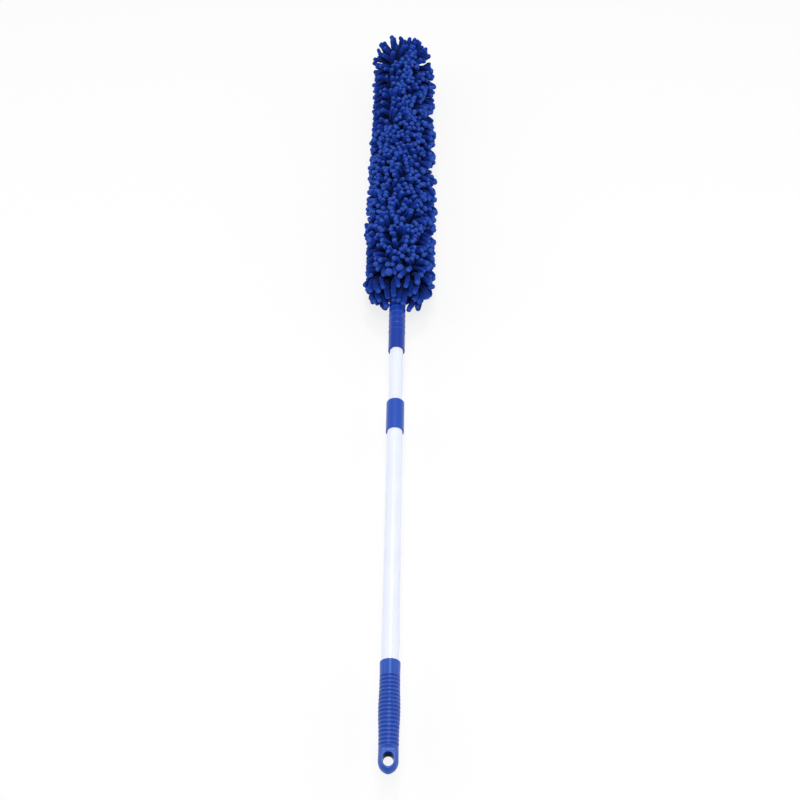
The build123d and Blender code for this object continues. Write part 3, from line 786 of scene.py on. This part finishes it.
def hold_back(line, radii):
    """Keeps the lines outside the socket and the cloth, inside the head and above the floor."""
    out = np.hypot(line[..., 0], line[..., 2])
    y = line[..., 1]
    core = np.where(y < CUFF_END, SOCKET_CORE, cloth_radius(y))
    least = core + radii[:, None] * CORE_GAP
    least[:, :LOOSE] = 0
    tip_side = y > DOME_CENTRE
    outer = outer_side(np.arctan2(line[..., 2], line[..., 0]))
    limit = HEAD_RADIUS + HEAD_ROOM + STAND_OUT * outer
    most = np.where(tip_side, math.inf, limit - radii[:, None])
    grown = np.where((out < least) & ~tip_side, least, np.minimum(out, most))
    scale = grown / np.maximum(out, TINY)
    line[..., 0] *= scale
    line[..., 2] *= scale
    lowest = FLOOR + radii[:, None] * FLOOR_GAP
    line[:, LOOSE:, 2] = np.maximum(line[:, LOOSE:, 2], lowest)


def settle(roots, first, last, lengths, radii):
    """Pushes the noodles' lines apart and off the floor, keeping each one's length and its lie."""
    line = lay(roots, first, last, lengths)
    wanted = np.diff(line, axis=1)
    step = lengths / NODES
    for turn in range(ROUNDS):
        push_apart(line, radii)
        hold_back(line, radii)
        ease = EASE if turn < ROUNDS - CALM_ROUNDS else CALM_EASE
        for k in range(1, NODES + 1):  # each length turns back a little towards its own lie
            lie = line[:, k] - line[:, k - 1]
            lie += (wanted[:, k - 1] - lie) * (ROOT_EASE if k == 1 else ease)
            lie *= (step / np.linalg.norm(lie, axis=1))[:, None]
            line[:, k] = line[:, k - 1] + lie
    hold_back(line, radii)
    return line


# ---------------------------------------------------------------- noodle skins

SIDES, RINGS = 12, 17
SKIN_START, SKIN_END = 0.35, NODES - 0.62  # where the rings start and end, in lengths of the line
CAP = np.radians([20, 42, 62, 78])  # rings of the rounded end
CAP_REACH = 1.02  # radii that the rounded end stands out
RING_SPREAD, LUMP_SPREAD = 0.028, 0.045
DYE_MIDDLE, DYE_SPREAD = 0.5, 0.2
SWELL = 0.80 + 0.20 * np.sin(np.linspace(0.1, 1.75, RINGS))  # a noodle is thinner at its root
FIRST_SIDE = [0.3, 0.8, 0.52]  # a way that no noodle starts out along


def smooth(line, at):
    """Points of the smooth curve through each line's nodes, at places counted in its lengths."""
    before, after = 2 * line[:, :1] - line[:, 1:2], 2 * line[:, -1:] - line[:, -2:-1]
    knots = np.concatenate([before, line, after], 1)
    k = np.minimum(at.astype(int), NODES - 1)
    t = (at - k)[None, :, None]
    p0, p1, p2, p3 = (knots[:, k + i] for i in range(4))
    square = (2 * p0 - 5 * p1 + 4 * p2 - p3) * t**2
    cube = (3 * p1 - p0 - 3 * p2 + p3) * t**3
    return 0.5 * (2 * p1 + (p2 - p0) * t + square + cube)


def carried(ways):
    """A direction across each ring, carried from one to the next without twist."""
    side = np.cross(ways[:, 0], FIRST_SIDE)
    across = np.zeros_like(ways)
    for i in range(ways.shape[1]):
        side = unit(side - (side * ways[:, i]).sum(1, keepdims=True) * ways[:, i])
        across[:, i] = side
    return across


def skin(line, radii):
    """Points, faces, root-to-tip share and dye lot of a rounded, lumpy skin on each line."""
    count = len(line)
    at = np.linspace(SKIN_START, SKIN_END, RINGS)
    middle = smooth(line, at)
    heading = unit(np.gradient(middle, axis=1))
    body = radii[:, None] * SWELL[None]
    body = body * RNG.normal(1, RING_SPREAD, body.shape)
    end, tip_way = middle[:, -1], heading[:, -1]
    reach = (radii * CAP_REACH)[:, None]
    caps = end[:, None] + tip_way[:, None] * (reach * np.sin(CAP))[..., None]
    centres = np.concatenate([middle, caps], 1)
    ways = np.concatenate([heading, np.repeat(tip_way[:, None], len(CAP), 1)], 1)
    ring_radii = np.concatenate([body, body[:, -1:] * np.cos(CAP)], 1)
    total = RINGS + len(CAP)

    across = carried(ways)
    other = np.cross(ways, across)
    turn = circle(SIDES)[:, None]
    lumps = RNG.normal(1, LUMP_SPREAD, (count, total, SIDES))
    ring = across[:, :, None] * np.cos(turn) + other[:, :, None] * np.sin(turn)
    points = centres[:, :, None] + ring * (ring_radii[..., None] * lumps)[..., None]
    poles = end + tip_way * reach

    per = total * SIDES
    here = np.arange(total - 1)[:, None] * SIDES
    quads = ring_quads(here, here + SIDES, SIDES)
    rim, side = (total - 1) * SIDES, np.arange(SIDES)
    fan = np.stack([rim + side, rim + (side + 1) % SIDES, np.full(SIDES, per)], -1)
    base = (np.arange(count) * (per + 1))[:, None, None]
    faces = [(base + quads).reshape(-1, 4), (base + fan).reshape(-1, 3)]

    points = np.concatenate([points.reshape(count, per, 3), poles[:, None]], 1).reshape(-1, 3)
    share = np.concatenate([at / NODES, np.ones(len(CAP))])
    along = np.tile(np.concatenate([np.repeat(share, SIDES), [1.0]]), count)
    dye = np.repeat(np.clip(RNG.normal(DYE_MIDDLE, DYE_SPREAD, count), 0, 1), per + 1)
    return points, faces, along, dye


# ---------------------------------------------------------------- the head

CLOTH_STEP, CORE_STEP = 2.0, 4.0  # between rings of the cloth, and of the foam and the wire
CLOTH_SIDES, FOAM_SIDES, WIRE_SIDES = 72, 48, 24
CLOTH_DOME, FOAM_DOME = np.linspace(0, 1.54, 18), np.linspace(0, 1.56, 14)  # radians off the rim
AXIS, WIRE_AXIS = 0.05, 0.02  # radius at which a closed end stops short of the axis
WIRE_ROOM = 0.1
CAP_ROOM = 0.3  # round the wire's cap
CAP_LOW, CAP_HIGH = low("tip_cap")[1] - CAP_ROOM, high("tip_cap")[1] + CAP_ROOM
CAP_RADIUS = high("tip_cap")[0] + CAP_ROOM


def reach_of(number, first, last):
    """Where a piece that runs from first to last starts and ends in one length of the head."""
    return max(first, EDGES[number]), min(last, EDGES[number + 1])


def make_pile(number, roots, lines, radii):
    chosen = (roots[:, 1] >= EDGES[number]) & (roots[:, 1] < EDGES[number + 1])
    points, faces, along, dye = skin(lines[chosen], radii[chosen])
    floats = {"along": along, "dye": dye}
    return mesh_object(
        f"noodles_{number}", points, faces, MATERIALS["chenille"], floats
    )


def make_cloth(number, start, end):
    y = stations(start, end, CLOTH_STEP)
    if number == LAST:
        dome = DOME_CENTRE + CLOTH_RADIUS * np.sin(CLOTH_DOME)
        y = np.concatenate([y[y < DOME_CENTRE], dome])
    outer = np.stack([cloth_radius(y), y], -1)
    inner = np.stack([np.maximum(outer[:, 0] - CLOTH_THICKNESS, AXIS), y], -1)[::-1]
    points, faces = lathe(np.concatenate([outer, inner]), CLOTH_SIDES, True)
    return mesh_object(f"sleeve_cloth_{number}", points, faces, CLOTH)


def make_foam(number):
    """Foam with the wire's channel, or at the tip a rounded end and a pocket for the wire's cap."""
    start, end = reach_of(number, FOAM_START, FOAM_END)
    y = stations(start, end, CORE_STEP)
    solid = FOAM_RADIUS * np.ones_like(y)
    y_in, pocket = y, []
    if number == LAST:
        dome = FOAM_END - FOAM_RADIUS * (1 - np.sin(FOAM_DOME))
        y = np.concatenate([y[y < FOAM_END - FOAM_RADIUS], dome])
        past = np.clip((y - FOAM_END + FOAM_RADIUS) / FOAM_RADIUS, 0, 1)
        solid = FOAM_RADIUS * np.sqrt(np.clip(1 - past**2, 0, 1))
        y_in = stations(start, CAP_LOW, CORE_STEP)
        pocket = [[(AXIS, CAP_HIGH), (CAP_RADIUS, CAP_HIGH), (CAP_RADIUS, CAP_LOW)]]
    outer = np.stack([np.maximum(solid, AXIS), y], -1)
    inner = np.stack([np.full(len(y_in), WIRE_RADIUS + WIRE_ROOM), y_in], -1)[::-1]
    points, faces = lathe(np.concatenate([outer, *pocket, inner]), FOAM_SIDES, True)
    return mesh_object(f"foam_{number}", points, faces, MATERIALS["foam"])


def make_wire(number):
    start, end = reach_of(number, WIRE_START, WIRE_END)
    y = stations(start, end, CORE_STEP)
    rod = np.stack([np.full(len(y), WIRE_RADIUS), y], -1)
    rod = np.concatenate([[(WIRE_AXIS, start)], rod, [(WIRE_AXIS, end)]])
    points, faces = lathe(rod, WIRE_SIDES, False)
    return mesh_object(f"wire_{number}", points, faces, MATERIALS["wire_steel"])


roots, first, last, lengths, radii = plant()
lines = settle(roots, first, last, lengths, radii)
for number in range(LAST + 1):
    cloth_start, cloth_end = reach_of(number, CLOTH_START, CLOTH_END)
    pile = make_pile(number, roots, lines, radii)
    cloth = make_cloth(number, cloth_start, cloth_end)
    foam = make_foam(number)
    wire = make_wire(number)

    for piece, node in ((pile, "chenille"), (foam, "core_foam"), (wire, "core_wire")):
        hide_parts(f"{node}_{min(number + 1, 6)}")
    for piece in (pile, cloth, foam, wire):
        along_head(piece, number)

# ---------------------------------------------------------------- elastic cuff

CUFF_SIDES = 144
CUFF_INNER = SOCKET_RADIUS + 0.25
CUFF_PROFILE = (  # out from 0 inside to 1 outside, up from -1 to 1 along the pole
    (0, -1),
    (0.55, -0.95),
    (1, -0.7),
    (1, 0.7),
    (0.55, 0.95),
    (0, 1),
    (0, 0.5),
    (0, -0.5),
)
RUFFLES, RUFFLE_DEPTH = 30, 0.35
WAVES, WAVE_DEPTH = 11, 0.15
INNER_PAD = 0.08  # what the inside stands out from its own radius

turn = circle(CUFF_SIDES)
rows = []
for out, up in CUFF_PROFILE:
    ruffle = RUFFLE_DEPTH * np.sin(turn * RUFFLES) * (out > 0.3)
    ruffle = ruffle + WAVE_DEPTH * np.sin(turn * WAVES + 1)
    r = CUFF_INNER + out * (CUFF_OUTER - CUFF_INNER) + np.where(out > 0, ruffle, INNER_PAD)
    station = (CUFF_START + CUFF_END) / 2 + up * (CUFF_END - CUFF_START) / 2
    rows.append(around(r, turn, np.full_like(turn, station)))
_, faces = lathe([(1, i) for i in range(len(rows))], CUFF_SIDES, True)
cuff = mesh_object("cuff", np.concatenate(rows), faces, MATERIALS["cuff_fabric"])
cuff.modifiers.new("round", "SUBSURF").render_levels = 1
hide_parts("sleeve_cuff")
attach(cuff, "upper_pole")

# ---------------------------------------------------------------- hard pieces

for entry in frame["record"]["subparts"]:
    node = frame["nodes"][entry["node"]]
    if not node.hide_render:
        for slot in node.material_slots:
            slot.material = MATERIALS[entry["material_slot"]]

# ---------------------------------------------------------------- floor, light, camera

FLOOR_HALF = 12.0  # metres
FLOOR_GLOW = 0.78  # how far the floor is drawn as plain white where the camera sees it
SKY_LIGHT, SKY_SEEN = 0.44, 1.0

mesh = bpy.data.meshes.new("floor")
corners = [(x * FLOOR_HALF, y * FLOOR_HALF) for x, y in ((-1, -1), (1, -1), (1, 1), (-1, 1))]
mesh.from_pydata([(x, y, FLOOR * MM) for x, y in corners], [], [(0, 1, 2, 3)])
floor = bpy.data.objects.new("floor", mesh)
bpy.context.scene.collection.objects.link(floor)
n = Nodes("floor")
paper = n.add("BsdfDiffuse", {"Color": (0.86, 0.86, 0.87, 1)})
glow = n.add("Emission", {"Color": (1, 1, 1, 1), "Strength": 1.0})
share = n.math("MULTIPLY", n.add("LightPath").outputs["Is Camera Ray"], FLOOR_GLOW)
mix = n.add("MixShader", {0: share, 1: paper.outputs[0], 2: glow.outputs[0]})
n.tree.links.new(mix.outputs[0], n.out.inputs["Surface"])
mesh.materials.append(n.material)

world = bpy.data.worlds.new("studio")
bpy.context.scene.world = world
world.use_nodes = True
sky = world.node_tree
background = sky.nodes["Background"]
background.inputs["Color"].default_value = (1, 1, 1, 1)
path = sky.nodes.new("ShaderNodeLightPath")
strength = sky.nodes.new("ShaderNodeMapRange")
strength.inputs["To Min"].default_value = SKY_LIGHT
strength.inputs["To Max"].default_value = SKY_SEEN
sky.links.new(path.outputs["Is Camera Ray"], strength.inputs["Value"])
sky.links.new(strength.outputs[0], background.inputs["Strength"])


def lamp(name, place, aim, size, power):
    """A square lamp at a place in metres, turned to its aim, with its power in watts."""
    light = bpy.data.lights.new(name, "AREA")
    light.shape, light.size, light.energy = "SQUARE", size, power
    made = bpy.data.objects.new(name, light)
    bpy.context.scene.collection.objects.link(made)
    made.location = place
    made.rotation_euler = (Vector(aim) - Vector(place)).to_track_quat("-Z", "Y").to_euler()


lamp("key", (0.05, -0.5, 2.6), (0, 0.6, 0), 1.1, 29)
lamp("over", (0.0, 1.45, 2.6), (0, 0.5, 0), 0.5, 18)
lamp("right", (1.9, 0.5, 1.3), (0, 0.6, 0), 1.6, 11)
lamp("left", (-1.9, 0.5, 1.3), (0, 0.6, 0), 1.6, 11)

PITCH, YAW = math.radians(50.2), math.radians(0.74)  # down, and to the side
DISTANCE = 1.4046  # metres from the camera to what it looks at
AIM = (0.0057, 0.468, 0)

camera = bpy.data.objects.new("camera", bpy.data.cameras.new("camera"))
bpy.context.scene.collection.objects.link(camera)
camera.data.lens, camera.data.sensor_width = 50.0, 36.0
camera.data.clip_start, camera.data.clip_end = 0.01, 100.0
level = math.cos(PITCH)
ahead = Vector((-math.sin(YAW) * level, math.cos(YAW) * level, -math.sin(PITCH)))
camera.location = Vector(AIM) - ahead * DISTANCE
camera.rotation_mode = "QUATERNION"
camera.rotation_quaternion = ahead.to_track_quat("-Z", "Y")
bpy.context.scene.camera = camera

bpy.context.scene.view_settings.view_transform = "Standard"
